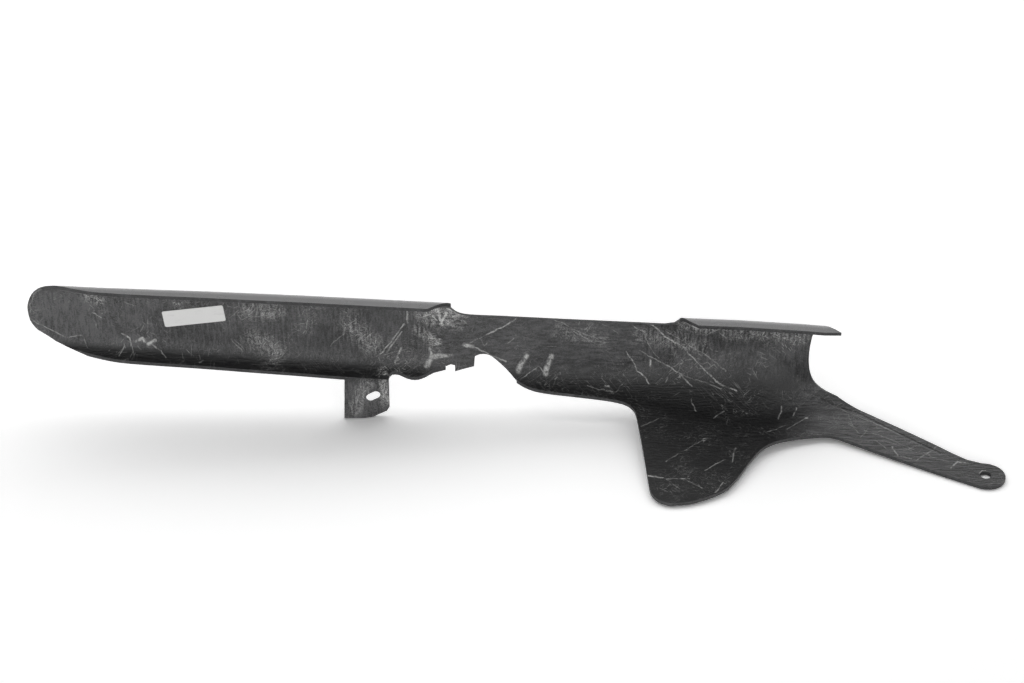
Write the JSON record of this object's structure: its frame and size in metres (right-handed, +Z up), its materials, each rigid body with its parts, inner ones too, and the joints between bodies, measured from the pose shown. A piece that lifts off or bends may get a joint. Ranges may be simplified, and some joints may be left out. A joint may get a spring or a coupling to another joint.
{
  "type": "motorcycle chain guard",
  "caption": "Long one-piece moulded chain cover with an inturned lip, a lower lobe, a rear arm with a bolt hole and a front tab with a slotted hole.",
  "frame": {"origin": "centre of the rear bolt hole, midway through the arm's wall", "axes": "+X runs along the guard from its nose towards the rear arm's tip, -Y is the open side of the channel, +Z is up from the side plates to the top lip, and is the rear bolt's axis"},
  "size_m": [0.5471, 0.1005, 0.0847],
  "materials": {
    "carbon": "satin",
    "label": "matt paper"
  },
  "bodies": {
    "root": {"guard_shell": "carbon", "label": "label"}
  },
  "joints": []
}
